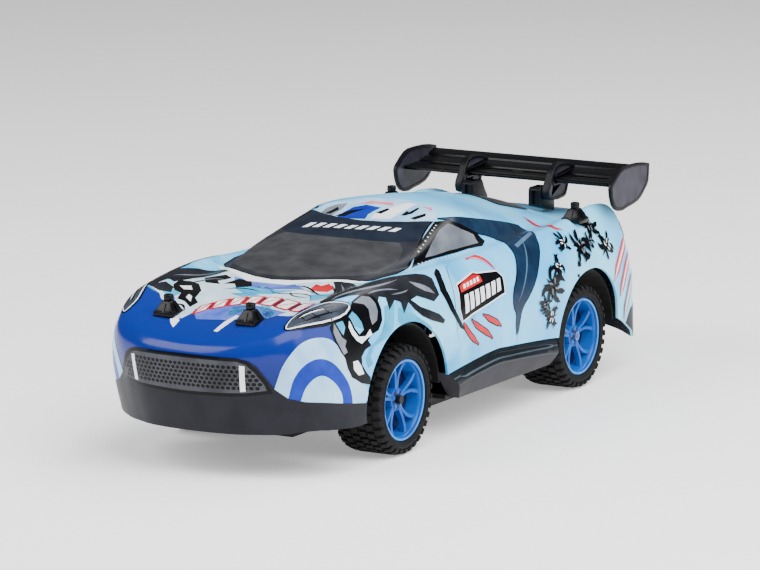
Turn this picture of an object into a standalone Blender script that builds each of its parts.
"""A toy radio-controlled sports car, as separate pieces.

The car stands on z = 0, points towards -Y, and its left side is +X.  A thin
formed shell carries the rear wing and lifts off four posts.  The plate under
it carries the steering in front, the batteries between the axles and the
motor with its gears behind.  Lengths are in metres.
"""
import math

import bmesh
import bpy
import numpy as np

MM = 0.001

# ---- driving dimensions -------------------------------------------------
WHEELBASE = 0.177
FRONT_AXLE_Y = -0.0752
TYRE_RADIUS = 0.026
TYRE_WIDTH = 0.026
WHEEL_X = 0.049                # middle of each wheel from the centre plane
BODY_HALF_WIDTH = 0.0645       # widest point of the shell
SHELL_WALL = 0.0012
GAP = 0.0003                   # between pieces that touch

# ---- wheels and axles ---------------------------------------------------
RIM_RADIUS = 0.0193
RIM_WALL = 0.0018
RIM_WIDTH = 0.0235
SPOKES = 10
SPOKE_WIDTH = 0.0022
HUB_RADIUS = 0.0052
HUB_IN = -0.002                # inner and outer end of the hub, from mid wheel
HUB_OUT = 0.0078
AXLE_RADIUS = 0.002
AXLE_PLAY = 0.0003
NUT_RADIUS = 0.0034
NUT_LENGTH = 0.0030

# ---- steering -----------------------------------------------------------
KINGPIN_X = 0.036
KINGPIN_RADIUS = 0.0013
KNUCKLE_RADIUS = 0.004
KNUCKLE_HEIGHT = 0.0168
BEAM_THICKNESS = 0.003
STEER_ARM = 0.012              # kingpin to tie rod, and horn to tie rod
STEER_PIN_RADIUS = 0.0012
ROD_THICKNESS = 0.0028
ROD_LIFT = 0.0005              # underside of the tie rod above the axle line
SLOT_PLAY = 0.0014             # room the pins need along the car

# ---- chassis ------------------------------------------------------------
PLATE_BOTTOM = 0.0115
PLATE_THICKNESS = 0.0025
PLATE_HALF_WIDTH = 0.040
DECK_BOTTOM = 0.0172             # side decks that carry the skirts
DECK_THICKNESS = 0.0022
SHELF_BOTTOM = 0.0205            # raised shelf behind the front lip
SHELF_THICKNESS = 0.0022
SHELF_LEAD = 0.0047              # shelf in front of the front posts
WALL_HEIGHT = 0.014
BATTERY_SIZE = (0.060, 0.052, 0.0155)
BATTERY_PLAY = 0.0007
DOOR_THICKNESS = 0.002
BOARD_SIZE = (0.046, 0.030, 0.0016)
BOARD_LIFT = 0.008
SERVO_SIZE = (0.026, 0.023, 0.0150)
FRONT_POST = (0.022, -0.0718)  # x, and distance from the front axle
REAR_POST = (0.0525, 0.008)    # x, and distance from the rear axle
POST_RADIUS = 0.0024
POST_PLAY = 0.0005
POST_BEAM_LIFT = 0.0030        # rear post beam above the rear wheel housing
LEG_X = 0.020

# ---- gears --------------------------------------------------------------
MODULE = 0.0006
SPUR_TEETH = 40
PINION_TEETH = 10
GEAR_WIDTH = 0.005
GEAR_BACKLASH = 0.0001
MOTOR_ANGLE = math.radians(165)
MOTOR_ROOM = 0.0011             # between the motor's can and the axle bushes
MOTOR_LENGTH = 0.025
CASE_WALL = 0.0014
CASE_DEPTH = 0.0045            # inside of one half, from the middle plane
BUSH_RADIUS = 0.004

# ---- wheel openings -----------------------------------------------------
FRONT_ARCH_ROOM = 0.011        # between the tyre and the opening
REAR_ARCH_ROOM = 0.008
FRONT_ARCH_SHIFT = -0.0012     # of the opening's middle from the axle
REAR_ARCH_SHIFT = 0.0035
LINER_WALL = 0.0011
LINER_IN_X = 0.040
LINER_INSET = 0.005            # outer edge inside the widest point
LINER_TAIL_ANGLE = {"front": 3, "rear": 5}  # housings end this far above the axle, degrees
DECK_SETBACK = 0.014           # side decks start this far behind the front opening

# ---- caps, skirts and wing ----------------------------------------------
CAP_HEIGHT = 0.0086
CAP_BASE_RADIUS = 0.0068
SKIRT_BOTTOM = 0.0180
SKIRT_DEPTH = 0.008
SKIRT_CREASE_OUT = 0.0018
WING_INSET = 0.004              # wing's end inside the widest point of the shell
WING_DATUM = (0.0332, 0.0965)  # wing's datum from the rear axle, and height
WING_CHORD = (0.0320, 0.0052)
BLADE_SETBACK = 0.0015         # blade's nose behind the plates' datum
WING_THICKNESS = 0.0024
PLATE_WALL = 0.002
UPRIGHT_X = 0.025
UPRIGHT_WALL = 0.004
FOOT_WALL = 0.0068

# ---- worked out from the above ------------------------------------------
REAR_AXLE_Y = FRONT_AXLE_Y + WHEELBASE
AXLE_Z = TYRE_RADIUS
FRONT_ARCH_RADIUS = TYRE_RADIUS + FRONT_ARCH_ROOM
REAR_ARCH_RADIUS = TYRE_RADIUS + REAR_ARCH_ROOM
PLATE_TOP = PLATE_BOTTOM + PLATE_THICKNESS
DECK_TOP = DECK_BOTTOM + DECK_THICKNESS
SHELF_TOP = SHELF_BOTTOM + SHELF_THICKNESS
BORE = AXLE_RADIUS + AXLE_PLAY
RUNNING_GAP = 2 * GAP
LINER_OUT_X = BODY_HALF_WIDTH - LINER_INSET
WING_HALF_SPAN = BODY_HALF_WIDTH - WING_INSET
ROD_BOTTOM = AXLE_Z + ROD_LIFT
ROD_Y = FRONT_AXLE_Y + STEER_ARM
SPUR_RADIUS = MODULE * SPUR_TEETH / 2
PINION_RADIUS = MODULE * PINION_TEETH / 2
GEAR_CENTRES = SPUR_RADIUS + PINION_RADIUS + GEAR_BACKLASH
MOTOR_RADIUS = GEAR_CENTRES - BUSH_RADIUS - MOTOR_ROOM
MOTOR_Y = REAR_AXLE_Y + GEAR_CENTRES * math.cos(MOTOR_ANGLE)
MOTOR_Z = AXLE_Z + GEAR_CENTRES * math.sin(MOTOR_ANGLE)
FRONT_ARCH_Y = FRONT_AXLE_Y + FRONT_ARCH_SHIFT
REAR_ARCH_Y = REAR_AXLE_Y + REAR_ARCH_SHIFT
REAR_ARCH_TOP = AXLE_Z + REAR_ARCH_RADIUS
DOOR_TOP = PLATE_BOTTOM - GAP
BAY_FRONT = FRONT_AXLE_Y + 0.046
BAY_HALF = BATTERY_SIZE[0] / 2 + BATTERY_PLAY
BAY_BACK = BAY_FRONT + BATTERY_SIZE[1] + 2 * BATTERY_PLAY

# ---- the shell's cage ---------------------------------------------------
# Each row is one station from the nose to the tail.  Its points run from the
# centre line outwards over rail, belt, fender crest, side and waist to the
# lower edge, in millimetres: x, y from the row's axle, z above the ground.
CAGE = (
    ("front", ((0, -89, 22), (20, -87, 22), (31, -82.7, 22), (39, -78.2, 22),
               (45, -74, 22.5), (49, -70.5, 23), (53, -65.5, 23))),
    ("front", ((0, -93.8, 42), (20, -92.3, 42), (33, -87.3, 42), (42, -81.5, 42),
               (49, -75.5, 40), (53, -70, 36), (56.5, -59.5, 22.5))),
    ("front", ((0, -95.8, 60), (21, -94, 60.5), (34, -89, 61.5), (43.5, -83, 62),
               (51, -75, 58), (55.5, -67.5, 47), (59.5, -53, 22.3))),
    ("front", ((0, -84.5, 67), (24, -81.5, 68.8), (36, -76.5, 71), (47, -69.5, 73.3),
               (54, -62, 65.5), (59, -56, 50), (61.5, -45.5, 22))),
    ("front", ((0, -55, 74.8), (27, -52, 76), (38, -49, 77.3), (49, -46, 79.2),
               (57.5, -42, 70.5), (62, -38, 52), (62.8, -30, 23))),
    ("front", ((0, -16.5, 80.2), (27, -12, 80.3), (40, -1, 79.3), (51, -4, 82.3),
               (60, -3, 72), (64, -2, 52), (64, 0, 27))),
    ("front", ((0, 25.5, 89.3), (37, 34.5, 86.5), (45.5, 38.5, 81.5), (52.5, 36, 80.3),
               (60.5, 36, 70), (64, 37, 54), (64, 38.5, 32.5))),
    ("rear", ((0, -110.5, 96.3), (35.5, -103, 95.5), (46, -99, 82.5), (53, -99, 79.5),
              (60.5, -99, 69), (63.8, -99, 54), (64, -99, 36))),
    ("rear", ((0, -78.5, 102.6), (35, -80.5, 98), (46, -80, 84), (53, -80, 80),
              (60.5, -80, 69), (63.8, -80, 54), (64, -80, 35.3))),
    ("rear", ((0, -43.5, 100), (34, -43.5, 91), (45, -43.5, 83.2), (53, -43.5, 81.5),
              (61, -43.5, 70), (64.2, -43.5, 54), (64, -43.5, 32.3))),
    ("rear", ((0, -13.5, 94.8), (32, -13.5, 86.5), (42, -13.5, 81.5), (52.5, -13.5, 82.3),
              (61.5, -13.5, 71), (64.5, -13.5, 54), (64, -13.5, 29))),
    ("rear", ((0, 12.5, 88.7), (30, 12.5, 82.8), (40, 12.5, 80.8), (51, 12.5, 84.2),
              (61, 12.5, 72.5), (64.5, 12.5, 53), (63.5, 12.5, 28))),
    ("rear", ((0, 35.5, 81.5), (28, 35.5, 79.5), (38, 35.5, 80.5), (50, 35.5, 86.3),
              (59.5, 35.5, 73), (63, 35.5, 50), (62, 35.5, 29.5))),
    ("rear", ((0, 60.5, 78), (28, 60, 78), (38, 58.5, 79), (48.5, 55, 81),
              (57, 49.5, 73), (61.5, 50, 49), (61.5, 52, 21.5))),
    ("rear", ((0, 65.5, 60), (27, 65.2, 60), (37, 64.5, 61.5), (47, 62.5, 63),
              (55, 58.5, 58), (60, 56.5, 42), (61, 56, 17.5))),
    ("rear", ((0, 62, 22), (25, 62, 22), (36, 61.5, 21.5), (45, 61, 20),
              (52.5, 60, 18.5), (57.5, 58.5, 17), (60.5, 57, 16.5))),
)
CAGE_HALF_WIDTH = 64.5
STATION_STEPS = 2
LINE_STEPS = 2

PAINT = {
    "shell": ((0.10, 0.36, 0.66), 0.22, 0.0),
    "black plastic": ((0.020, 0.021, 0.024), 0.42, 0.0),
    "chassis plastic": ((0.013, 0.013, 0.015), 0.55, 0.0),
    "rim plastic": ((0.010, 0.16, 0.62), 0.30, 0.0),
    "tyre rubber": ((0.012, 0.012, 0.013), 0.80, 0.0),
    "steel": ((0.56, 0.57, 0.58), 0.32, 1.0),
    "white plastic": ((0.75, 0.75, 0.72), 0.45, 0.0),
    "battery wrap": ((0.03, 0.22, 0.08), 0.40, 0.0),
    "board green": ((0.01, 0.12, 0.05), 0.45, 0.0),
    "brass": ((0.60, 0.42, 0.14), 0.30, 1.0),
}


# ---- helpers ------------------------------------------------------------
def clear_scene():
    for item in list(bpy.data.objects):
        bpy.data.objects.remove(item, do_unlink=True)


def new_collection(name):
    group = bpy.data.collections.new(name)
    bpy.context.scene.collection.children.link(group)
    return group


def material(name):
    found = bpy.data.materials.get(name)
    if found:
        return found
    colour, roughness, metallic = PAINT[name]
    made = bpy.data.materials.new(name)
    made.use_nodes = True
    shader = made.node_tree.nodes["Principled BSDF"]
    shader.inputs["Base Color"].default_value = (*colour, 1.0)
    shader.inputs["Roughness"].default_value = roughness
    shader.inputs["Metallic"].default_value = metallic
    return made


def add_object(name, bm, finish, location=(0, 0, 0)):
    """Finish a bmesh as a named object; no finish means a cutter or guide."""
    bmesh.ops.recalc_face_normals(bm, faces=bm.faces)
    mesh = bpy.data.meshes.new(name)
    bm.to_mesh(mesh)
    bm.free()
    mesh.shade_smooth()
    mesh.set_sharp_from_angle(angle=math.radians(38))
    made = bpy.data.objects.new(name, mesh)
    made.location = location
    if finish:
        mesh.materials.append(material(finish))
        car.objects.link(made)
    else:
        made.hide_render = True
        made.display_type = "WIRE"
        guides.objects.link(made)
    return made


def block(name, low, high, finish=None):
    """A box between two corners."""
    low = np.array(low)
    high = np.array(high)
    bm = bmesh.new()
    bmesh.ops.create_cube(bm, size=1.0)
    bmesh.ops.scale(bm, vec=high - low, verts=bm.verts)
    return add_object(name, bm, finish, (low + high) / 2)


def round_bar(name, axis, centre, low, high, radius, finish=None, sides=24):
    """A cylinder along x, y or z, from low to high on that axis."""
    turn = {"x": (0, math.pi / 2, 0), "y": (math.pi / 2, 0, 0), "z": (0, 0, 0)}[axis]
    bm = bmesh.new()
    bmesh.ops.create_cone(bm, cap_ends=True, segments=sides, radius1=radius,
                          radius2=radius, depth=high - low)
    made = add_object(name, bm, finish)
    made.rotation_euler = turn
    made.location = centre
    made.location["xyz".index(axis)] = (low + high) / 2
    return made


def loft(name, sections, finish=None):
    """Skin equal rings of points and close both ends."""
    bm = bmesh.new()
    rings = [[bm.verts.new(point) for point in section] for section in sections]
    count = len(rings[0])
    for first, second in zip(rings, rings[1:]):
        for k in range(count):
            n = (k + 1) % count
            bm.faces.new((first[k], first[n], second[n], second[k]))
    bm.faces.new(rings[0])
    bm.faces.new(rings[-1][::-1])
    return add_object(name, bm, finish)


def slab(name, axis, outline, low, high, finish=None):
    """A flat outline pushed along an axis; its points are the other two axes."""
    def at(level, point):
        if axis == "x":
            return (level, point[0], point[1])
        if axis == "y":
            return (point[0], level, point[1])
        return (point[0], point[1], level)
    ends = [[at(level, point) for point in outline] for level in (low, high)]
    return loft(name, ends, finish)


def turned(name, profile, centre, side, finish, steps=28):
    """A profile of (radius, offset) spun round an axis that points to +X or -X.

    side 1 or -1 is the way its offsets point along X; 0 stands it upright.
    """
    bm = bmesh.new()
    points = [bm.verts.new((radius, 0.0, offset)) for radius, offset in profile]
    for first, second in zip(points, points[1:]):
        bm.edges.new((first, second))
    if profile[0][0] > 0:
        bm.edges.new((points[-1], points[0]))
    mesh = bpy.data.meshes.new(name)
    bm.to_mesh(mesh)
    bm.free()
    mesh.materials.append(material(finish))
    made = bpy.data.objects.new(name, mesh)
    made.location = centre
    made.rotation_euler = (0, side * math.pi / 2, 0)
    car.objects.link(made)
    screw = made.modifiers.new("spin", "SCREW")
    screw.steps = steps
    screw.render_steps = steps
    screw.use_merge_vertices = True
    screw.merge_threshold = 0.00001
    screw.use_smooth_shade = True
    return made


def combine(target, tool, operation):
    """Join or cut with another object, which becomes a guide."""
    if tool.name not in guides.objects:
        car.objects.unlink(tool)
        guides.objects.link(tool)
    tool.hide_render = True
    tool.display_type = "WIRE"
    step = target.modifiers.new(operation.lower() + " " + tool.name, "BOOLEAN")
    step.operation = operation
    step.solver = "EXACT"
    step.object = tool


def cut(target, *tools):
    for tool in tools:
        combine(target, tool, "DIFFERENCE")


def fuse(target, *tools):
    for tool in tools:
        combine(target, tool, "UNION")


def axis_point(name, location):
    """An empty on a joint's axis, for the pieces that turn or slide there."""
    empty = bpy.data.objects.new(name, None)
    empty.location = location
    empty.empty_display_size = 0.01
    guides.objects.link(empty)
    return empty


def carry(empty, *pieces):
    bpy.context.view_layer.update()
    for piece in pieces:
        piece.parent = empty
        piece.matrix_parent_inverse = empty.matrix_world.inverted()


# ---- the shell's surface ------------------------------------------------
def cage_points():
    """The cage in metres, as stations x lines x 3."""
    widen = BODY_HALF_WIDTH / CAGE_HALF_WIDTH
    axle = {"front": FRONT_AXLE_Y, "rear": REAR_AXLE_Y}
    rows = [[(x * widen, axle[end] + y * MM, z * MM) for x, y, z in row]
            for end, row in CAGE]
    return np.array(rows)


def spline_weights(count, steps):
    """Catmull-Rom weights of `count` points, each span cut into `steps`."""
    rows = []
    for i in range(count - 1):
        for k in range(steps):
            t = k / steps
            rows.append((i, t))
    rows.append((count - 2, 1.0))
    weights = np.zeros((len(rows), count + 2))
    for row, (i, t) in enumerate(rows):
        weights[row, i:i + 4] = (
            0.5 * (-t + 2 * t ** 2 - t ** 3),
            0.5 * (2 - 5 * t ** 2 + 3 * t ** 3),
            0.5 * (t + 4 * t ** 2 - 3 * t ** 3),
            0.5 * (-t ** 2 + t ** 3),
        )
    return weights


def shell_grid(station_steps, line_steps):
    """Points on the left half of the shell, as stations x lines x 3."""
    cage = cage_points()
    mirrored = cage[:, 1:2] * np.array((-1, 1, 1))
    beyond = 2 * cage[:, -1:] - cage[:, -2:-1]
    wide = np.concatenate((mirrored, cage, beyond), axis=1)
    ahead = 2 * wide[:1] - wide[1:2]
    behind = 2 * wide[-1:] - wide[-2:-1]
    full = np.concatenate((ahead, wide, behind), axis=0)
    along = spline_weights(cage.shape[0], station_steps)
    across = spline_weights(cage.shape[1], line_steps)
    grid = np.einsum("ai,ijk,bj->abk", along, full, across)
    grid[:, 0, 0] = 0.0
    return grid


def shell_height(x, y):
    """Height of the shell's top at a place, from its nearest fine points."""
    fine = shell_grid(12, 12).reshape(-1, 3)
    top = fine[fine[:, 2] > 0.055]
    reach = np.hypot(top[:, 0] - abs(x), top[:, 1] - y)
    near = np.argsort(reach)[:4]
    share = 1 / (reach[near] + 1e-6)
    return float((top[near, 2] * share).sum() / share.sum())


def sill_at(y):
    """The shell's lower edge (x, z) beside a place along the car."""
    edge = shell_grid(STATION_STEPS, 1)[:, -1]
    x = np.interp(y, edge[:, 1], edge[:, 0])
    z = np.interp(y, edge[:, 1], edge[:, 2])
    return float(x), float(z)


def shell_sheet(name, wall, outward, finish=None):
    """The shell's surface, mirrored and given a wall."""
    grid = shell_grid(STATION_STEPS, LINE_STEPS)
    stations, lines = grid.shape[:2]
    bm = bmesh.new()
    points = [[bm.verts.new(point) for point in row] for row in grid]
    for i in range(stations - 1):
        for j in range(lines - 1):
            bm.faces.new((points[i][j], points[i][j + 1],
                          points[i + 1][j + 1], points[i + 1][j]))
    mesh = bpy.data.meshes.new(name)
    bm.to_mesh(mesh)
    bm.free()
    mesh.shade_smooth()
    made = bpy.data.objects.new(name, mesh)
    mirror = made.modifiers.new("other half", "MIRROR")
    mirror.merge_threshold = 0.00001
    skin = made.modifiers.new("wall", "SOLIDIFY")
    skin.thickness = wall + outward
    skin.offset = 2 * outward / (wall + outward) - 1
    skin.use_even_offset = True
    if finish:
        mesh.materials.append(material(finish))
        car.objects.link(made)
    else:
        made.hide_render = True
        made.display_type = "WIRE"
        guides.objects.link(made)
    return made


# ---- body ---------------------------------------------------------------
def make_shell():
    shell = shell_sheet("body_shell", SHELL_WALL, 0.0, "shell")
    reach = BODY_HALF_WIDTH + 0.01
    front = round_bar("front_arch_cut", "x", (0, FRONT_ARCH_Y, AXLE_Z), -reach, reach,
                      FRONT_ARCH_RADIUS, sides=48)
    rear = round_bar("rear_arch_cut", "x", (0, REAR_ARCH_Y, AXLE_Z), -reach, reach,
                     REAR_ARCH_RADIUS, sides=48)
    cut(shell, front, rear)
    for name, x, y in post_places():
        height = shell_height(x, y)
        hole = round_bar(name + "_hole", "z", (x, y, 0), height - 0.01, height + 0.01,
                         POST_RADIUS + 2 * POST_PLAY, sides=20)
        cut(shell, hole)
    return shell


def post_places():
    """Name, x and y of the four body posts."""
    widen = BODY_HALF_WIDTH / (CAGE_HALF_WIDTH * MM)
    places = []
    for side, sign in (("left", 1), ("right", -1)):
        places.append(("front_" + side, sign * FRONT_POST[0], FRONT_AXLE_Y + FRONT_POST[1]))
        places.append(("rear_" + side, sign * REAR_POST[0] * widen,
                       REAR_AXLE_Y + REAR_POST[1]))
    return places


def make_caps(seat):
    """A push-on cap over each post, seated on the shell."""
    bore = POST_RADIUS + POST_PLAY
    crown = 0.72 * CAP_HEIGHT
    sunk = -0.0025
    profile = [
        (0.0, CAP_HEIGHT), (0.0021, CAP_HEIGHT - 0.0004), (0.0021, crown + 0.0006),
        (bore + 0.0011, crown), (bore + 0.0020, 0.0013), (CAP_BASE_RADIUS, 0.0011),
        (CAP_BASE_RADIUS, sunk), (bore, sunk), (bore, crown - 0.0012), (0.0, crown - 0.0012),
    ]
    caps = []
    for name, x, y in post_places():
        height = shell_height(x, y)
        cap = turned("body_cap_" + name, profile, (x, y, height), 0, "black plastic", 20)
        cut(cap, seat)
        carry(axis_point("cap_axis_" + name, (x, y, height)), cap)
        caps.append(cap)
    return caps


def blade_section(grow):
    """The wing's section, round nosed and slightly cambered."""
    chord = np.array(WING_CHORD)
    length = float(np.hypot(*chord))
    along = chord / length
    up = np.array((-along[1], along[0]))
    half = WING_THICKNESS / 2 + grow
    nose = np.array((REAR_AXLE_Y + WING_DATUM[0] + BLADE_SETBACK, WING_DATUM[1]))

    def at(share, lift):
        sag = -0.0016 * math.sin(math.pi * share)
        return tuple(nose + along * (share * length) + up * (sag + lift))
    top = [at(share, half) for share in (0.06, 0.3, 0.55, 0.8)]
    tip = [at(1.0, half * 0.8), at(1.0, -half * 0.8)]
    under = [at(share, -half) for share in (0.8, 0.55, 0.3, 0.06)]
    front = [tuple(nose - along * grow - up * half * 0.5),
             tuple(nose - along * grow + up * half * 0.5)]
    return top + tip + under + front


def wing_outline(offsets):
    """Points given from the wing's datum, in millimetres."""
    y = REAR_AXLE_Y + WING_DATUM[0]
    z = WING_DATUM[1]
    return [(y + dy * MM, z + dz * MM) for dy, dz in offsets]


def make_wing(seat):
    slab("wing_blade", "x", blade_section(0.0), -WING_HALF_SPAN, WING_HALF_SPAN,
         "black plastic")
    plate = wing_outline(((36.5, 7.3), (35.7, -1.6), (31.5, -5.8), (24.6, -10.1),
                          (12.7, -12.0), (2.9, -12.6), (-3.1, -8.9), (-6.1, -0.3),
                          (-3.2, 3.2), (0.6, 5.9), (8.5, 9.1), (24.2, 9.1)))
    upright = wing_outline(((2, 7.6), (12, 8.0), (23.5, 5.6), (22.5, 2.8), (18.5, 0.4),
                            (16, -4), (13.5, -9), (6, -10), (-3, -9), (-5.5, -5.5),
                            (-3.5, -1), (-1, 3)))
    slot = slab("wing_slot_cut", "x", blade_section(GAP), -WING_HALF_SPAN, WING_HALF_SPAN)
    foot_back = REAR_AXLE_Y + WING_DATUM[0] + 0.0097
    foot_front = REAR_AXLE_Y + WING_DATUM[0] - 0.0062
    for side, sign in (("left", 1), ("right", -1)):
        inner = sign * (WING_HALF_SPAN + GAP)
        slab("wing_end_plate_" + side, "x", plate, inner, inner + sign * PLATE_WALL,
             "black plastic")
        stand = slab("wing_upright_" + side, "x", upright,
                     sign * (UPRIGHT_X - UPRIGHT_WALL / 2),
                     sign * (UPRIGHT_X + UPRIGHT_WALL / 2), "black plastic")
        cut(stand, slot)
        outer = UPRIGHT_X - UPRIGHT_WALL / 2 - GAP
        sunk = 0.004
        foot = wing_outline(((-6.2, -4.4), (-1.0, -3.2), (4.0, -2.8), (7.0, -8.0),
                             (9.7, -11.5)))
        foot.append((foot_back, shell_height(outer, foot_back) - sunk))
        foot.append((foot_front, shell_height(outer, foot_front) - sunk))
        block_foot = slab("wing_foot_" + side, "x", foot, sign * (outer - FOOT_WALL),
                          sign * outer, "black plastic")
        cut(block_foot, seat)


# ---- chassis ------------------------------------------------------------
def mirrored(half):
    """A whole outline from its half; the first and last points are on the middle."""
    return half + [(-x, y) for x, y in half[-2:0:-1]]


def make_chassis():
    """A floor with raised side decks and a raised shelf behind the front lip."""
    front = FRONT_AXLE_Y
    rear = REAR_AXLE_Y
    front_reach = FRONT_ARCH_RADIUS - 0.0025
    rear_reach = REAR_ARCH_RADIUS - 0.0025
    neck = KINGPIN_X - 0.013
    riser_y = FRONT_ARCH_Y - front_reach
    floor = [(0, riser_y - 0.0025), (neck, riser_y - 0.0025), (neck, front + 0.030),
             (PLATE_HALF_WIDTH, FRONT_ARCH_Y + front_reach),
             (PLATE_HALF_WIDTH, REAR_ARCH_Y - rear_reach), (0.033, rear - 0.0265),
             (0.033, rear + 0.0265), (0.020, rear + 0.031), (0, rear + 0.031)]
    plate = slab("chassis_plate", "z", mirrored(floor), PLATE_BOTTOM, PLATE_TOP,
                 "chassis plastic")
    shelf_y = front + FRONT_POST[1] - SHELF_LEAD
    shelf = [(0, shelf_y), (0.025, shelf_y), (0.036, front - 0.064), (0.046, riser_y),
             (0, riser_y)]
    fuse(plate, slab("front_shelf", "z", mirrored(shelf), SHELF_BOTTOM, SHELF_TOP))
    fuse(plate, block("shelf_riser", (-neck, riser_y - 0.0025, PLATE_BOTTOM),
                      (neck, riser_y, SHELF_BOTTOM + 0.001)))
    for side, sign in (("left", 1), ("right", -1)):
        fuse(plate, side_deck(side, sign, FRONT_ARCH_Y + front_reach + DECK_SETBACK,
                              REAR_ARCH_Y - rear_reach))
        fuse(plate, door_rail(sign))
    wall = 0.0015
    top = PLATE_TOP + WALL_HEIGHT
    tray = block("tray_wall", (-BAY_HALF - wall, BAY_FRONT - wall, PLATE_BOTTOM + 0.001),
                 (BAY_HALF + wall, BAY_BACK + wall, top))
    bay = block("battery_bay_cut", (-BAY_HALF, BAY_FRONT, PLATE_BOTTOM - 0.01),
                (BAY_HALF, BAY_BACK, top + 0.01))
    gear_hole = case_outline(MODULE * 2 + CASE_WALL + 3 * GAP)
    deep = CASE_DEPTH + CASE_WALL + 2 * GAP
    well = slab("gear_well_cut", "x", gear_hole, -deep, deep)
    slot = block("switch_slot_cut", (0.0165, BAY_BACK + 0.0105, PLATE_BOTTOM - 0.01),
                 (0.0235, BAY_BACK + 0.0225, PLATE_TOP + 0.01))
    fuse(plate, tray)
    cut(plate, bay, well, slot)
    return plate


def side_deck(side, sign, front, rear):
    """A wall that rises from the floor's edge and turns outwards to the skirt."""
    edge = PLATE_HALF_WIDTH
    outer = sill_at((front + rear) / 2)[0] - SKIRT_DEPTH - GAP
    outline = [(edge - 0.002, PLATE_BOTTOM + 0.0005), (edge, PLATE_BOTTOM + 0.0005),
               (edge, DECK_BOTTOM), (outer, DECK_BOTTOM), (outer, DECK_TOP),
               (edge - 0.002, DECK_TOP)]
    return slab("side_deck_" + side, "y", [(sign * x, z) for x, z in outline], front, rear)


def door_rail(sign):
    """An L under the plate that holds the battery door's edge."""
    edge = BAY_HALF + 0.0025
    low = DOOR_TOP - DOOR_THICKNESS - GAP - 0.0011
    step = DOOR_TOP - DOOR_THICKNESS - GAP
    outline = [(edge + GAP, PLATE_BOTTOM + 0.001), (edge + 0.0025, PLATE_BOTTOM + 0.001),
               (edge + 0.0025, low), (edge - 0.0025, low), (edge - 0.0025, step),
               (edge + GAP, step)]
    return slab("door_rail_" + ("left" if sign > 0 else "right"), "y",
                [(sign * x, z) for x, z in outline], BAY_FRONT - 0.002, BAY_BACK + 0.002)


def make_battery():
    floor = DOOR_TOP + GAP
    low = (-BATTERY_SIZE[0] / 2, BAY_FRONT + BATTERY_PLAY, floor)
    high = (BATTERY_SIZE[0] / 2, BAY_BACK - BATTERY_PLAY, floor + BATTERY_SIZE[2])
    block("battery_pack", low, high, "battery wrap")
    edge = BAY_HALF + 0.0025
    door = block("battery_door", (-edge, BAY_FRONT - 0.002, DOOR_TOP - DOOR_THICKNESS),
                 (edge, BAY_BACK + 0.002, DOOR_TOP), "chassis plastic")
    carry(axis_point("door_axis", (0, BAY_BACK, DOOR_TOP)), door)


def make_switch():
    x = 0.020
    y = BAY_BACK + 0.0145
    stem = block("power_switch", (x - 0.0022, y - 0.0025, PLATE_BOTTOM - 0.0015),
                 (x + 0.0022, y + 0.0025, PLATE_TOP + 3 * GAP), "white plastic")
    head = block("switch_head", (x - 0.005, y - 0.004, PLATE_TOP + GAP),
                 (x + 0.005, y + 0.004, PLATE_TOP + GAP + 0.0015))
    fuse(stem, head)
    carry(axis_point("switch_axis", (x, y, PLATE_BOTTOM)), stem)


def make_board():
    y = BAY_BACK + 0.004
    z = PLATE_TOP + BOARD_LIFT
    half = BOARD_SIZE[0] / 2
    board = block("circuit_board", (-half, y, z), (half, y + BOARD_SIZE[1], z + BOARD_SIZE[2]),
                  "board green")
    chip = block("board_chip", (-0.006, y + 0.008, z + BOARD_SIZE[2] - 0.0002),
                 (0.006, y + 0.018, z + BOARD_SIZE[2] + 0.0015))
    plug = block("board_plug", (-0.018, y + 0.003, z + BOARD_SIZE[2] - 0.0002),
                 (-0.010, y + 0.011, z + BOARD_SIZE[2] + 0.006))
    fuse(board, chip, plug)
    for index, (dx, dy) in enumerate(((-1, 0.004), (1, 0.004), (-1, 0.026), (1, 0.026))):
        name = "board_leg_%d" % (index + 1)
        leg = round_bar(name, "z", (dx * (half - 0.003), y + dy, 0), PLATE_TOP + GAP,
                        z + 0.0005, 0.0018, sides=10)
        fuse(board, leg)


def arc(centre, radius, start, end, count):
    """Points of an arc in the y-z plane, angles in degrees from +Y."""
    angles = np.radians(np.linspace(start, end, count))
    return [(centre[0] + radius * math.cos(a), centre[1] + radius * math.sin(a))
            for a in angles]


def make_inner_fenders():
    """The black wheel housings inside the arches.

    The front pair stands on the shelf and the rear pair on the side decks; each
    ends free behind its wheel.
    """
    front = FRONT_ARCH_RADIUS - RUNNING_GAP
    rear = REAR_ARCH_RADIUS - RUNNING_GAP
    housings = (("front", FRONT_ARCH_Y, front, SHELF_TOP),
                ("rear", REAR_ARCH_Y, rear, DECK_TOP))
    for end, y, outer, stand in housings:
        start = LINER_TAIL_ANGLE[end]
        stop = 180 + math.degrees(math.asin((AXLE_Z - stand - GAP) / outer))
        ring = arc((y, AXLE_Z), outer, start, stop, 23)
        ring += arc((y, AXLE_Z), outer - LINER_WALL, stop, start, 23)
        for side, sign in (("left", 1), ("right", -1)):
            slab("inner_fender_%s_%s" % (end, side), "x", ring, sign * LINER_IN_X,
                 sign * LINER_OUT_X, "black plastic")


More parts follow.
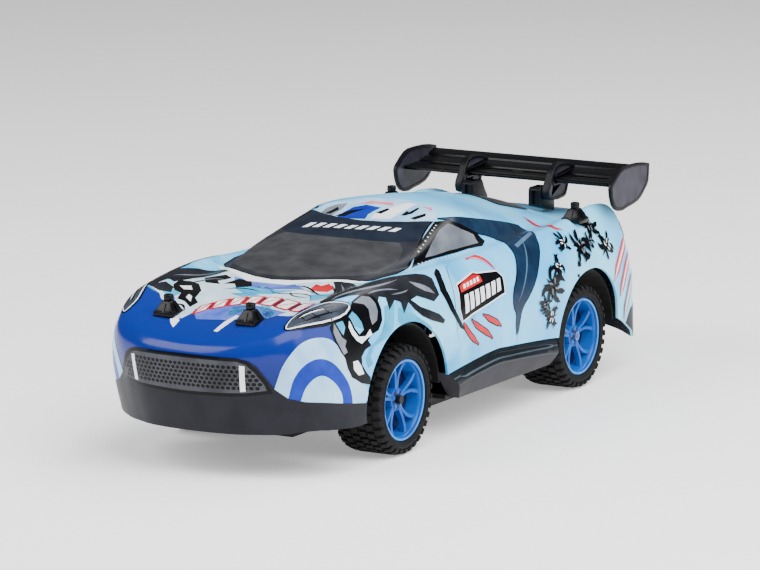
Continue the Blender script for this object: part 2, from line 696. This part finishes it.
def make_skirts():
    """Black side skirts under the doors, with a crease along the middle."""
    front = FRONT_ARCH_Y + FRONT_ARCH_RADIUS
    rear = REAR_ARCH_Y - REAR_ARCH_RADIUS
    stations = np.linspace(front + 0.002, rear - 0.001, 7)
    sections = []
    for share, y in zip(np.linspace(0, 1, 7), stations):
        x, z = sill_at(y)
        top = z - 2 * GAP
        crease = top - 0.0065
        ring = [(x - SKIRT_DEPTH, top), (x - 0.0006, top), (x + SKIRT_CREASE_OUT, crease),
                (x - 0.0020, SKIRT_BOTTOM), (x - SKIRT_DEPTH, SKIRT_BOTTOM)]
        nose_cut = 0.012 * max(0.0, 1 - 6 * share)
        tail_cut = 0.004 * max(0.0, 6 * share - 5)
        section = []
        for px, pz in ring:
            depth = (top - pz) / (top - SKIRT_BOTTOM)
            section.append((px, y + (nose_cut - tail_cut) * depth, pz))
        sections.append(section)
    for side, sign in (("left", 1), ("right", -1)):
        loft("side_skirt_" + side, [[(sign * px, y, z) for px, y, z in ring]
                                    for ring in sections], "black plastic")


def make_posts():
    """Posts in front, and a beam on two legs that holds the rear pair."""
    for name, x, y in post_places():
        crown = shell_height(x, y) + 0.72 * CAP_HEIGHT - 0.0012 - GAP
        if name.startswith("front"):
            post = round_bar(name.replace("front", "front_post"), "z", (x, y, 0),
                             SHELF_TOP + GAP, crown, POST_RADIUS, "black plastic", 16)
            foot = round_bar(name + "_post_foot", "z", (x, y, 0), SHELF_TOP + GAP,
                             SHELF_TOP + 0.003, 0.005, sides=16)
            sleeve = round_bar(name + "_post_sleeve", "z", (x, y, 0), SHELF_TOP + 0.002,
                               shell_height(x, y) - 0.012, 0.0042, sides=16)
            fuse(post, foot, sleeve)
    make_rear_bridge()


def make_rear_bridge():
    rear = [place for place in post_places() if place[0].startswith("rear")]
    x = abs(rear[0][1])
    y = rear[0][2]
    low = REAR_ARCH_TOP + POST_BEAM_LIFT
    leg_y = REAR_AXLE_Y + 0.0145
    beam = block("rear_post_bridge", (-x - 0.004, y - 0.004, low),
                 (x + 0.004, y + 0.004, low + 0.0035), "black plastic")
    deck = block("bridge_deck", (-LEG_X - 0.003, y - 0.004, low),
                 (LEG_X + 0.003, leg_y + 0.003, low + 0.0035))
    fuse(beam, deck)
    for name, px, py in rear:
        crown = shell_height(px, py) + 0.72 * CAP_HEIGHT - 0.0012 - GAP
        post = round_bar(name + "_post", "z", (px, py, 0), low + 0.001, crown,
                         POST_RADIUS, sides=16)
        sign = math.copysign(1, px)
        inner, outer = sorted((sign * (LEG_X - 0.002), sign * (LEG_X + 0.002)))
        leg = block(name + "_bridge_leg", (inner, leg_y - 0.003, PLATE_TOP + GAP),
                    (outer, leg_y + 0.003, low + 0.001))
        toes = sorted((sign * (LEG_X - 0.002), sign * (LEG_X + 0.007)))
        toe = block(name + "_bridge_toe", (toes[0], leg_y - 0.003, PLATE_TOP + GAP),
                    (toes[1], leg_y + 0.003, PLATE_TOP + 0.003))
        fuse(beam, post, leg, toe)


# ---- steering -----------------------------------------------------------
def make_front_beam():
    """The fixed beam with an upper and a lower arm to each kingpin."""
    half_height = KNUCKLE_HEIGHT / 2 + GAP
    reach = KINGPIN_X + 0.0035
    half_y = 0.0042
    arms = []
    for name, low in (("lower_arm", AXLE_Z - half_height - BEAM_THICKNESS),
                      ("upper_arm", AXLE_Z + half_height)):
        arms.append(block(name, (-reach, FRONT_AXLE_Y - half_y, low),
                          (reach, FRONT_AXLE_Y + half_y, low + BEAM_THICKNESS)))
    half_x = KINGPIN_X - 0.018
    top = AXLE_Z + half_height + BEAM_THICKNESS - 0.001
    beam = block("front_beam", (-half_x, FRONT_AXLE_Y - 0.009, PLATE_TOP + GAP),
                 (half_x, FRONT_AXLE_Y + 0.005, top), "chassis plastic")
    fuse(beam, *arms)
    for side, sign in (("left", 1), ("right", -1)):
        cut(beam, kingpin_bar("beam_kingpin_cut_" + side, sign, GAP, 0.01))
    return beam


def kingpin_bar(name, sign, grow, longer, finish=None):
    half = KNUCKLE_HEIGHT / 2 + GAP + BEAM_THICKNESS
    return round_bar(name, "z", (sign * KINGPIN_X, FRONT_AXLE_Y, 0), AXLE_Z - half - longer,
                     AXLE_Z + half + longer, KINGPIN_RADIUS + grow, finish, 12)


def make_knuckles():
    for side, sign in (("left", 1), ("right", -1)):
        x = sign * KINGPIN_X
        half = KNUCKLE_HEIGHT / 2
        knuckle = round_bar("steering_knuckle_" + side, "z", (x, FRONT_AXLE_Y, 0),
                            AXLE_Z - half, AXLE_Z + half, KNUCKLE_RADIUS, "black plastic", 20)
        ends = sorted((x + sign * 0.002, sign * (WHEEL_X + HUB_OUT + 0.0022)))
        stub = round_bar("stub_" + side, "x", (0, FRONT_AXLE_Y, AXLE_Z), ends[0], ends[1],
                         AXLE_RADIUS, sides=16)
        arm_top = ROD_BOTTOM - GAP
        arm = block("steer_arm_" + side, (x - 0.0022, FRONT_AXLE_Y + 0.001, arm_top - 0.0028),
                    (x + 0.0022, ROD_Y + 0.0026, arm_top))
        pin = round_bar("steer_pin_" + side, "z", (x, ROD_Y, 0), arm_top - 0.001,
                        ROD_BOTTOM + ROD_THICKNESS + 0.0006, STEER_PIN_RADIUS, sides=12)
        fuse(knuckle, stub, arm, pin)
        cut(knuckle, kingpin_bar("knuckle_kingpin_cut_" + side, sign, GAP, 0.01))
        kingpin_bar("kingpin_" + side, sign, 0.0, 0.0012, "steel")
        carry(axis_point("steer_axis_" + side, (x, FRONT_AXLE_Y, AXLE_Z)), knuckle)


def make_tie_rod():
    """The rod between the knuckles; its eyes are slots along the car."""
    reach = KINGPIN_X
    top = ROD_BOTTOM + ROD_THICKNESS
    eye = 0.0026
    rod = block("tie_rod", (-reach, ROD_Y - 0.0016, ROD_BOTTOM), (reach, ROD_Y + 0.0016, top),
                "black plastic")
    slots = []
    for name, x in (("left", reach), ("right", -reach), ("middle", 0.0)):
        long = STEER_PIN_RADIUS + SLOT_PLAY
        pad = block("rod_eye_" + name, (x - eye, ROD_Y - long - 0.0012, ROD_BOTTOM),
                    (x + eye, ROD_Y + long + 0.0012, top))
        fuse(rod, pad)
        wide = STEER_PIN_RADIUS + GAP
        slots.append(block("rod_slot_" + name, (x - wide, ROD_Y - long, ROD_BOTTOM - 0.002),
                           (x + wide, ROD_Y + long, top + 0.002)))
    cut(rod, *slots)
    carry(axis_point("rod_axis", (0, ROD_Y, ROD_BOTTOM)), rod)


def make_servo():
    """The steering motor's box and the horn on top of it."""
    axis_y = ROD_Y + STEER_ARM
    plate_low = ROD_BOTTOM + ROD_THICKNESS + 2 * GAP
    front = ROD_Y + STEER_PIN_RADIUS + SLOT_PLAY + 0.0022
    top = plate_low - GAP - 0.001
    block("steering_servo", (-SERVO_SIZE[0] / 2, front, PLATE_TOP + GAP),
          (SERVO_SIZE[0] / 2, front + SERVO_SIZE[1], top), "chassis plastic")
    horn = round_bar("servo_horn", "z", (0, axis_y, 0), top + GAP, plate_low + 0.0022, 0.0036,
                     "white plastic", 20)
    arm = block("horn_arm", (-0.0022, ROD_Y - 0.0018, plate_low),
                (0.0022, axis_y, plate_low + 0.0022))
    pin = round_bar("horn_pin", "z", (0, ROD_Y, 0), ROD_BOTTOM + 0.0004, plate_low + 0.001,
                    STEER_PIN_RADIUS, sides=12)
    fuse(horn, arm, pin)
    carry(axis_point("horn_axis", (0, axis_y, plate_low)), horn)


# ---- wheels -------------------------------------------------------------
def tyre_profile():
    """Half round shoulders on a wide flat tread, top to bottom outside."""
    bore = RIM_RADIUS + GAP
    half = TYRE_WIDTH / 2
    tread = TYRE_RADIUS
    return [(bore, half - 0.0012), (bore + 0.0012, half - 0.0002), (tread - 0.0034, half),
            (tread - 0.0010, half - 0.0014), (tread, half - 0.0036), (tread, -half + 0.0036),
            (tread - 0.0010, -half + 0.0014), (tread - 0.0034, -half),
            (bore + 0.0012, -half + 0.0002), (bore, -half + 0.0012)]


def rim_profile():
    half = RIM_WIDTH / 2
    wall = RIM_RADIUS - RIM_WALL
    return [(wall + 0.0004, half), (RIM_RADIUS, half - 0.0004), (RIM_RADIUS, -half),
            (wall, -half), (wall, half - 0.0022)]


def spider_outline():
    """Spokes from the hub into the barrel, as one star-shaped outline."""
    outer = RIM_RADIUS - RIM_WALL / 2
    points = []
    for k in range(SPOKES):
        middle = 2 * math.pi * k / SPOKES
        for radius, way in ((HUB_RADIUS, -1), (outer, -1), (outer, 1), (HUB_RADIUS, 1)):
            angle = middle + way * math.asin(SPOKE_WIDTH / 2 / radius) * 0.98
            points.append((radius * math.cos(angle), radius * math.sin(angle)))
    return points


def make_wheels():
    places = (("front_left", 1, FRONT_AXLE_Y), ("front_right", -1, FRONT_AXLE_Y),
              ("rear_left", 1, REAR_AXLE_Y), ("rear_right", -1, REAR_AXLE_Y))
    wheels = {}
    for name, sign, y in places:
        centre = (sign * WHEEL_X, y, AXLE_Z)
        tyre = turned("tyre_" + name, tyre_profile(), centre, sign, "tyre rubber", 32)
        rim = turned("rim_" + name, rim_profile(), centre, sign, "rim plastic", 32)
        star = [(y + py, AXLE_Z + pz) for py, pz in spider_outline()]
        face = sorted((centre[0] + sign * 0.0050, centre[0] + sign * 0.0074))
        spider = slab(name + "_spider", "x", star, face[0], face[1])
        ends = sorted((centre[0] + sign * HUB_IN, centre[0] + sign * HUB_OUT))
        hub = round_bar(name + "_hub", "x", centre, ends[0], ends[1], HUB_RADIUS + 0.0006,
                        sides=20)
        bore = round_bar(name + "_bore_cut", "x", centre, ends[0] - 0.01, ends[1] + 0.01, BORE,
                         sides=16)
        fuse(rim, spider, hub)
        cut(rim, bore)
        nut = make_nut(name, sign, y)
        wheels[name] = (tyre, rim, nut)
    for name in ("front_left", "front_right"):
        sign = 1 if name.endswith("left") else -1
        carry(axis_point("wheel_axis_" + name, (sign * WHEEL_X, FRONT_AXLE_Y, AXLE_Z)),
              *wheels[name])
    return wheels


def make_nut(name, sign, y):
    """A closed moulded nut over the axle's end, in the colour of the rim."""
    start = WHEEL_X + HUB_OUT + GAP
    profile = [(0.0, NUT_LENGTH), (NUT_RADIUS * 0.8, NUT_LENGTH),
               (NUT_RADIUS, NUT_LENGTH - 0.0007), (NUT_RADIUS, 0.0), (BORE, 0.0),
               (BORE, NUT_LENGTH - 0.0008), (0.0, NUT_LENGTH - 0.0008)]
    return turned("wheel_nut_" + name, profile, (sign * start, y, AXLE_Z), sign,
                  "rim plastic", 12)


# ---- drive --------------------------------------------------------------
def gear_outline(teeth, centre, first):
    """Straight-sided teeth; the first tooth's middle points to `first`."""
    pitch = 2 * math.pi / teeth
    middle = MODULE * teeth / 2
    root = middle - 1.20 * MODULE
    tip = middle + 0.80 * MODULE
    points = []
    for k in range(teeth):
        for radius, share in ((root, -0.27), (tip, -0.11), (tip, 0.11), (root, 0.27)):
            angle = first + (k + share) * pitch
            points.append((centre[0] + radius * math.cos(angle),
                           centre[1] + radius * math.sin(angle)))
    return points


def case_outline(grow):
    """A belt round the spur gear and the pinion."""
    spur = SPUR_RADIUS + grow
    pinion = PINION_RADIUS + grow
    lean = math.acos((spur - pinion) / GEAR_CENTRES)
    start = MOTOR_ANGLE - lean
    end = MOTOR_ANGLE + lean
    small = np.degrees((start, end))
    around = arc((MOTOR_Y, MOTOR_Z), pinion, small[0], small[1], 7)
    around += arc((REAR_AXLE_Y, AXLE_Z), spur, small[1], small[0] + 360, 17)
    return around


def make_drive():
    half = GEAR_WIDTH / 2
    reach = WHEEL_X + HUB_OUT + 0.0018
    axle = round_bar("rear_axle", "x", (0, REAR_AXLE_Y, AXLE_Z), -reach, reach, AXLE_RADIUS,
                     "steel", 16)
    spur = slab("spur_gear", "x", gear_outline(SPUR_TEETH, (REAR_AXLE_Y, AXLE_Z), MOTOR_ANGLE),
                -half, half, "white plastic")
    cut(spur, round_bar("spur_bore_cut", "x", (0, REAR_AXLE_Y, AXLE_Z), -0.01, 0.01, BORE,
                        sides=16))
    gap_first = MOTOR_ANGLE + math.pi + math.pi / PINION_TEETH
    pinion = slab("motor_pinion", "x",
                  gear_outline(PINION_TEETH, (MOTOR_Y, MOTOR_Z), gap_first),
                  -half, half, "brass")
    shaft_end = CASE_DEPTH + CASE_WALL + 2 * GAP
    fuse(pinion, round_bar("motor_shaft", "x", (0, MOTOR_Y, MOTOR_Z), -half - 0.0008,
                           shaft_end, 0.001, sides=12))
    carry(axis_point("pinion_axis", (0, MOTOR_Y, MOTOR_Z)), pinion)
    make_case()
    motor = round_bar("drive_motor", "x", (0, MOTOR_Y, MOTOR_Z), shaft_end + GAP,
                      shaft_end + GAP + MOTOR_LENGTH, MOTOR_RADIUS, "steel", 24)
    fuse(motor, round_bar("motor_tail", "x", (0, MOTOR_Y, MOTOR_Z),
                          shaft_end + MOTOR_LENGTH - 0.001, shaft_end + MOTOR_LENGTH + 0.002,
                          0.003, sides=16))
    for side, sign in (("left", 1), ("right", -1)):
        bush = [(BUSH_RADIUS, 0.0018), (BUSH_RADIUS, -0.0018), (BORE, -0.0018), (BORE, 0.0018)]
        middle = sign * (CASE_DEPTH + CASE_WALL / 2)
        turned("axle_bush_" + side, bush, (middle, REAR_AXLE_Y, AXLE_Z), 1, "brass", 20)
    return axle, spur


def make_case():
    """Two cups that meet at the gears' middle plane and stand on the plate."""
    clear = 0.80 * MODULE + 2 * GAP
    for side, sign in (("left", 1), ("right", -1)):
        rim = sign * GAP / 2
        back = sign * (CASE_DEPTH + CASE_WALL)
        ends = sorted((rim, back))
        case = slab("gearbox_case_" + side, "x", case_outline(clear + CASE_WALL), ends[0],
                    ends[1], "chassis plastic")
        hollow = sorted((-sign * 0.001, sign * CASE_DEPTH))
        cut(case, slab("case_hollow_cut_" + side, "x", case_outline(clear), hollow[0],
                       hollow[1]))
        foot_y = (REAR_AXLE_Y - 0.009, REAR_AXLE_Y + 0.009)
        foot = sorted((back - sign * 0.0009, back + sign * 0.006))
        fuse(case, block("case_foot_" + side, (foot[0], foot_y[0], PLATE_TOP + GAP),
                         (foot[1], foot_y[1], PLATE_TOP + 0.003)))
        far = sorted((0.0, sign * 0.02))
        bore = round_bar("case_bush_cut_" + side, "x", (0, REAR_AXLE_Y, AXLE_Z), far[0],
                         far[1], BUSH_RADIUS + GAP, sides=20)
        cut(case, bore)
        if sign > 0:
            cut(case, round_bar("case_shaft_cut", "x", (0, MOTOR_Y, MOTOR_Z), 0.0, 0.02,
                                0.0016, sides=12))


# ---- build --------------------------------------------------------------
def build():
    make_shell()
    seat = shell_sheet("shell_seat", 0.010, GAP)
    make_caps(seat)
    make_wing(seat)
    make_chassis()
    make_battery()
    make_switch()
    make_board()
    make_inner_fenders()
    make_skirts()
    make_posts()
    make_front_beam()
    make_knuckles()
    make_tie_rod()
    make_servo()
    wheels = make_wheels()
    axle, spur = make_drive()
    turning = axis_point("rear_axle_axis", (0, REAR_AXLE_Y, AXLE_Z))
    carry(turning, axle, spur, *wheels["rear_left"], *wheels["rear_right"])


clear_scene()
car = new_collection("remote_control_car")
guides = new_collection("cutters_and_guides")
build()
